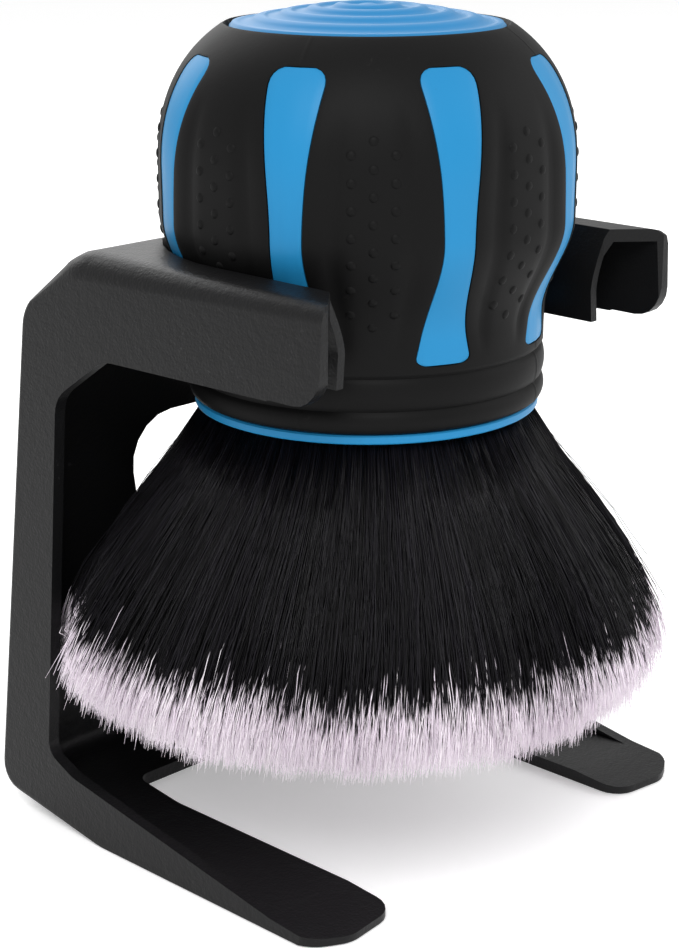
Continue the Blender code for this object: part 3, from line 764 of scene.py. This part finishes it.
def makeCup():
    ring, low, foot = cup["radius"], cupLow[2], cup["footRound"]
    ringTop = grip["collarZ"] - cup["topGap"]
    bore = ring - cup["boreInset"]
    skirt = bore + cup["skirtWall"]
    lip = ring - cup["lipInset"]
    profile = [(lip, low + cup["lipBevel"]), (lip + cup["lipBevel"], low)]
    profile += [(ring - foot + foot * math.sin(t), low + foot - foot * math.cos(t))
                for t in (0, 0.4, 0.8, 1.2, math.pi / 2)]
    profile += [(ring, ringTop - cup["topBevel"]), (ring - cup["topBevel"], ringTop), (skirt, ringTop),
                (skirt, cupHigh[2]), (bore, cupHigh[2]), (bore, low + cup["mouth"])]
    ob = turned("ferrule_ring", profile, cup["turns"])
    smoothByAngle(ob, 40)
    finishPiece(ob, coreBlue, "brush", "cup_plastic", "ferrule_cup")
    print("cup made", len(ob.data.polygons))


# ---- bristles

fibres = {
    "coreCount": 23600,        # fill the bundle
    "shellCount": 17500,       # lie near the outside, where every bend shows
    "coreRings": (-0.03, 0.26, 0.55),
    "shellRings": (-0.03, 0.12, 0.24, 0.36, 0.48, 0.60, 0.71),
    "coreGroups": 5,
    "shellGroups": 6,
    "thickness": 0.15 * mm,
    "tipThickness": 0.04 * mm,
    "length": cupLow[2] - hairLow[2],
    "rootRadius": 24.6 * mm,
    "outerRadius": (hairHigh[0] - hairLow[0]) / 2,
    "tipRound": 11 * mm,       # the outermost tips end this much higher
    "pale": 5.9 * mm,          # length of the pale tips
    "clump": 2.6 * mm,
    "gather": 0.30,            # how far fibres lean to the middle of their clump
    "wander": 2.0 * mm,        # how far a fibre strays sideways by its tip
    "wave": 0.34 * mm,
    "flick": 0.5 * mm,         # extra spread of the outermost tips
    "sway": (-1.6 * mm, 1.4 * mm),
    "flyShare": 0.03,
    "flyReach": 3.0 * mm,
    "flyLift": 2.5 * mm,
    "tipScatter": 1.6 * mm,
    "clumpScatter": 0.35 * mm,
    "paleScatter": 0.85 * mm,
    "longPaleShare": 0.07,     # some fibres are pale much further up
    "longPale": 6.0 * mm,
    "shortPaleAbove": 0.95,    # and some only at the very end
    "shortPale": 3.2 * mm,
    "leastPale": 1.2 * mm,
    "changeHalf": 0.015,       # half length of the colour change, as a share
    "wallGap": 0.6 * mm,
    "rearRoom": 11 * mm,
    "sideRoom": 4 * mm,
    "sideFrom": 22 * mm,       # behind this the side walls are in reach
    "seed": 7,
}

# inner faces of the stand, which the fibres lean on
standWalls = {"thickness": 2.0 * mm, "rearLean": 0.07, "sideSplay": 0.0513}


def fibreMaterial():
    made = bpy.data.materials.new("bristleFibre")
    made.use_nodes = True
    nodes, links = made.node_tree.nodes, made.node_tree.links
    shader = nodes["Principled BSDF"]
    pale = nodes.new("ShaderNodeAttribute")
    pale.attribute_name = "paleShare"
    shade = nodes.new("ShaderNodeAttribute")
    shade.attribute_name = "fibreShade"
    dark = nodes.new("ShaderNodeMix")
    dark.data_type = "RGBA"
    dark.inputs["A"].default_value = (0.0014, 0.0012, 0.0017, 1)
    dark.inputs["B"].default_value = (0.0125, 0.011, 0.0155, 1)
    light = nodes.new("ShaderNodeMix")
    light.data_type = "RGBA"
    light.inputs["A"].default_value = (0.86, 0.76, 0.86, 1)
    light.inputs["B"].default_value = (0.98, 0.92, 0.96, 1)
    both = nodes.new("ShaderNodeMix")
    both.data_type = "RGBA"
    rough = nodes.new("ShaderNodeMapRange")
    rough.inputs["To Min"].default_value = 0.36
    rough.inputs["To Max"].default_value = 0.55
    links.new(shade.outputs["Fac"], dark.inputs["Factor"])
    links.new(shade.outputs["Fac"], light.inputs["Factor"])
    links.new(pale.outputs["Fac"], both.inputs["Factor"])
    links.new(dark.outputs["Result"], both.inputs["A"])
    links.new(light.outputs["Result"], both.inputs["B"])
    links.new(pale.outputs["Fac"], rough.inputs["Value"])
    links.new(both.outputs["Result"], shader.inputs["Base Color"])
    links.new(rough.outputs["Result"], shader.inputs["Roughness"])
    shader.inputs["Specular IOR Level"].default_value = 0.18
    return made


def bundleRadius(depth):
    share = np.clip(depth / (fibres["length"] * 0.80), 0, 1)
    full = fibres["outerRadius"] + 0.3 * mm
    flare = 0.38 * share + 0.62 * np.sin(math.pi / 2 * share) ** 1.2
    return fibres["rootRadius"] + (full - fibres["rootRadius"]) * flare


def backPlateY(z):
    # front face of the back plate, which leans
    return standHigh[1] - standWalls["thickness"] - standWalls["rearLean"] * z


def sideWallX(z):
    # inner faces of the side walls, which splay towards the ground
    return standHigh[0] - standWalls["thickness"] - standWalls["sideSplay"] * z


def pressBack(value, limit, room):
    # eases values into the last stretch before a wall
    start = limit - room
    over = np.maximum(value - start, 0)
    return np.where(over > 0, start + room * (1 - np.exp(-over / room)), value)


def makeFibrePaths(random, rho, rings):
    count, free = len(rho), len(rings)
    phi = random.random(count) * 2 * math.pi
    # neighbours gather in loose clumps towards their tips
    tipX, tipY = (rho * fibres["outerRadius"] * turn(phi) for turn in (np.cos, np.sin))
    cellX, cellY = (np.floor(tip / fibres["clump"]).astype(int) for tip in (tipX, tipY))
    table = np.random.default_rng(fibres["seed"]).normal(0, 1, (4096, 4))
    clump = table[(cellX * 73 + cellY * 1009) % len(table)]
    leanX = ((cellX + 0.5 + 0.25 * clump[:, 0]) * fibres["clump"] - tipX) * fibres["gather"]
    leanY = ((cellY + 0.5 + 0.25 * clump[:, 1]) * fibres["clump"] - tipY) * fibres["gather"]
    leanX += fibres["wander"] * random.normal(0, 0.6, count) + fibres["sway"][0]
    leanY += fibres["wander"] * random.normal(0, 0.6, count) + fibres["sway"][1]
    edge = np.clip((rho - 0.74) / 0.26, 0, 1)
    tipDepth = fibres["length"] - fibres["tipRound"] * (1 - np.sqrt(1 - 0.98 * edge ** 2))
    tipDepth += fibres["clumpScatter"] * clump[:, 2] - fibres["tipScatter"] * random.random(count) ** 1.6
    paleLength = fibres["pale"] + fibres["clumpScatter"] * clump[:, 3]
    paleLength += fibres["paleScatter"] * random.normal(0, 1, count)
    stray = random.random(count)
    paleLength += np.where(stray < fibres["longPaleShare"],
                           fibres["longPale"] * random.random(count) ** 1.5, 0)
    paleLength -= np.where(stray > fibres["shortPaleAbove"], fibres["shortPale"] * random.random(count), 0)
    paleLength = np.maximum(paleLength, fibres["leastPale"])
    flying = np.where((random.random(count) < fibres["flyShare"]) & (rho > 0.93), random.random(count), 0)
    shade = random.random(count) ** 2.0
    paleStart = 1 - paleLength / tipDepth
    steps = np.empty((count, free + 3))
    steps[:, :free] = rings
    # two rings close together keep the colour change crisp
    steps[:, free] = paleStart - fibres["changeHalf"]
    steps[:, free + 1] = paleStart + fibres["changeHalf"]
    steps[:, free + 2] = 1.0
    steps[:, free - 1] = np.minimum(steps[:, free - 1], (steps[:, free - 2] + steps[:, free]) / 2)
    down = np.clip(steps, 0, 1)
    depth = steps * tipDepth[:, None]
    radius = rho[:, None] * bundleRadius(np.maximum(depth, 0))
    radius += (fibres["flick"] * edge ** 3 + flying * fibres["flyReach"])[:, None] * down ** 3
    size = (fibres["wave"] * (0.3 + random.random(count)))[:, None] * np.sqrt(down)
    rate = 7 + 16 * random.random((count, 2))
    phase = 2 * math.pi * random.random((count, 2))
    waveX, waveY = (size * np.sin(rate[:, k:k + 1] * steps + phase[:, k:k + 1]) for k in range(2))
    x = radius * np.cos(phi)[:, None] + leanX[:, None] * down ** 2 + waveX
    y = radius * np.sin(phi)[:, None] + leanY[:, None] * down ** 2 + waveY
    z = cupLow[2] - depth + (flying * fibres["flyLift"])[:, None] * down
    # the rear leans on the back plate and on the side walls' inner faces
    y = pressBack(y, backPlateY(z) - axisY - fibres["wallGap"], fibres["rearRoom"])
    pressed = np.sign(x) * pressBack(np.abs(x), sideWallX(z) - fibres["wallGap"], fibres["sideRoom"])
    x = np.where(y > fibres["sideFrom"], pressed, x)
    pale = np.zeros(steps.shape)
    pale[:, free + 1:] = 1.0
    width = np.ones(steps.shape) * fibres["thickness"] / 2
    width[flying > 0] *= 0.7
    width[:, -1] = fibres["tipThickness"] / 2
    return phi, np.stack([x, y + axisY, z], axis=2), width, pale, shade


def tubesFrom(name, paths, width, pale, shade, turn):
    # three-sided closed tubes, one for each path
    count, rings, _ = paths.shape
    along = np.gradient(paths, axis=1)
    along /= np.linalg.norm(along, axis=2, keepdims=True)
    helper = np.zeros_like(along)
    helper[:, :, 0] = np.cos(turn)[:, None]
    helper[:, :, 1] = np.sin(turn)[:, None]
    sideA = np.cross(along, helper)
    sideA /= np.linalg.norm(sideA, axis=2, keepdims=True)
    sideB = np.cross(along, sideA)
    points = np.empty((count, rings, 3, 3))
    for k in range(3):
        angle = 2 * math.pi * k / 3
        points[:, :, k] = paths + width[:, :, None] * (math.cos(angle) * sideA + math.sin(angle) * sideB)
    quads = []
    for ring in range(rings - 1):
        for k in range(3):
            m = (k + 1) % 3
            quads.append((ring * 3 + k, ring * 3 + m, (ring + 1) * 3 + m, (ring + 1) * 3 + k))
    last = (rings - 1) * 3
    caps = [(2, 1, 0), (last, last + 1, last + 2)]
    base = (np.arange(count) * rings * 3)[:, None]
    quadIndex = (base[:, None] + np.array(quads)[None]).reshape(-1, 4)
    capIndex = (base[:, None] + np.array(caps)[None]).reshape(-1, 3)
    mesh = bpy.data.meshes.new(name)
    mesh.vertices.add(count * rings * 3)
    mesh.vertices.foreach_set("co", points.astype(np.float32).ravel())
    loops = np.concatenate([quadIndex.ravel(), capIndex.ravel()]).astype(np.int32)
    mesh.loops.add(len(loops))
    mesh.loops.foreach_set("vertex_index", loops)
    quadStarts = np.arange(len(quadIndex)) * 4
    starts = np.concatenate([quadStarts, len(quadIndex) * 4 + np.arange(len(capIndex)) * 3])
    mesh.polygons.add(len(starts))
    mesh.polygons.foreach_set("loop_start", starts.astype(np.int32))
    mesh.update(calc_edges=True)
    for label, values in (("paleShare", np.repeat(pale, 3, axis=1).ravel()),
                          ("fibreShade", np.repeat(shade, rings * 3))):
        made = mesh.attributes.new(label, "FLOAT", "POINT")
        made.data.foreach_set("value", values.astype(np.float32))
    mesh.shade_smooth()
    ob = bpy.data.objects.new(name, mesh)
    bpy.context.scene.collection.objects.link(ob)
    return ob


def makeBristles():
    random = np.random.default_rng(fibres["seed"])
    material = fibreMaterial()
    layers = [
        ("shell", 1 - 0.11 * random.random(fibres["shellCount"]) ** 1.2),
        ("core", np.sqrt(random.random(fibres["coreCount"]))),
    ]
    for layer, rho in layers:
        phi, paths, width, pale, shade = makeFibrePaths(random, rho, fibres[layer + "Rings"])
        groups = fibres[layer + "Groups"]
        sector = (phi / (2 * math.pi) * groups).astype(int)
        for group in range(groups):
            mine = sector == group
            ob = tubesFrom(f"bristle_{layer}_{group + 1}", paths[mine], width[mine], pale[mine], shade[mine],
                           phi[mine] * 3.1)
            standsFor = ["bristles"] if (layer, group) == ("shell", 0) else []
            finishPiece(ob, material, "brush", "bristle_fibre", *standsFor)
        print("bristles made:", layer, len(phi))


def makeGrip():
    ob = makeSleeve()
    pips = makeDots()
    deselectAll()
    pips.select_set(True)
    ob.select_set(True)
    bpy.context.view_layer.objects.active = ob
    bpy.ops.object.join()
    smoothByAngle(ob, 50)
    finishPiece(ob, sleeveRubber, "brush", "sleeve_rubber", "grip_sleeve")
    print("grip joined", len(ob.data.polygons))


# ---- room, light and camera

studio = {
    "azimuth": -46.67, "pitch": 17.29, "distance": 327.7 * mm, "height": 157.37 * mm,
    "lens": 81.8, "yawShift": 0.736, "aimHeight": 0.07, "skyStrength": 0.72, "floorGlow": 0.3,
}


def makeStudio():
    scene = bpy.context.scene
    deselectAll()
    bpy.ops.mesh.primitive_plane_add(size=6, location=(0, 0, -0.0002))
    floor = bpy.context.object
    floor.name = "pale_floor"
    surface = bpy.data.materials.new("paleFloor")
    surface.use_nodes = True
    shader = surface.node_tree.nodes["Principled BSDF"]
    shader.inputs["Base Color"].default_value = (0.9, 0.9, 0.9, 1)
    shader.inputs["Roughness"].default_value = 0.9
    shader.inputs["Emission Color"].default_value = (1, 1, 1, 1)
    shader.inputs["Emission Strength"].default_value = studio["floorGlow"]
    floor.data.materials.append(surface)
    world = bpy.data.worlds.new("studio")
    world.use_nodes = True
    nodes, links = world.node_tree.nodes, world.node_tree.links
    nodes["Background"].inputs["Color"].default_value = (1, 1, 1, 1)
    nodes["Background"].inputs["Strength"].default_value = studio["skyStrength"]
    # the lens sees plain white behind the floor's edge
    white = nodes.new("ShaderNodeBackground")
    white.inputs["Color"].default_value = (1, 1, 1, 1)
    rays, seen = nodes.new("ShaderNodeLightPath"), nodes.new("ShaderNodeMixShader")
    links.new(rays.outputs["Is Camera Ray"], seen.inputs[0])
    links.new(nodes["Background"].outputs[0], seen.inputs[1])
    links.new(white.outputs[0], seen.inputs[2])
    links.new(seen.outputs[0], nodes["World Output"].inputs["Surface"])
    scene.world = world
    lamps = [
        ("key", (-0.55, -0.45, 0.80), 0.5, 6.0),
        ("fill", (0.7, -0.5, 0.45), 0.7, 2.2),
        ("back", (0.35, 0.75, 0.6), 0.8, 4.0),
    ]
    for name, place, size, power in lamps:
        deselectAll()
        bpy.ops.object.light_add(type="AREA", location=place)
        lamp = bpy.context.object
        lamp.name = name
        lamp.data.size = size
        lamp.data.energy = power
        aim = np.array([0, 0, studio["aimHeight"]]) - np.array(place)
        tilt = math.pi / 2 + math.atan2(aim[2], math.hypot(aim[0], aim[1]))
        lamp.rotation_euler = (tilt, 0, math.atan2(aim[1], aim[0]) - math.pi / 2)
    azimuth = math.radians(studio["azimuth"])
    deselectAll()
    bpy.ops.object.camera_add(location=(studio["distance"] * math.sin(azimuth),
                                        axisY - studio["distance"] * math.cos(azimuth), studio["height"]))
    camera = bpy.context.object
    turn = azimuth + math.radians(studio["yawShift"])
    camera.rotation_euler = (math.radians(90 - studio["pitch"]), 0, turn)
    camera.data.lens = studio["lens"]
    camera.data.sensor_width = 36
    camera.data.sensor_fit = "AUTO"
    camera.data.clip_start = 0.01
    scene.camera = camera
    scene.view_settings.view_transform = "Standard"
    print("studio made")


makeStudio()
makeStand()
makeGrip()
makeCore()
makeCap()
makeCup()
makeBristles()
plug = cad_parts["glue_plug"]
plug.data.materials.clear()
plug.data.materials.append(setResin)
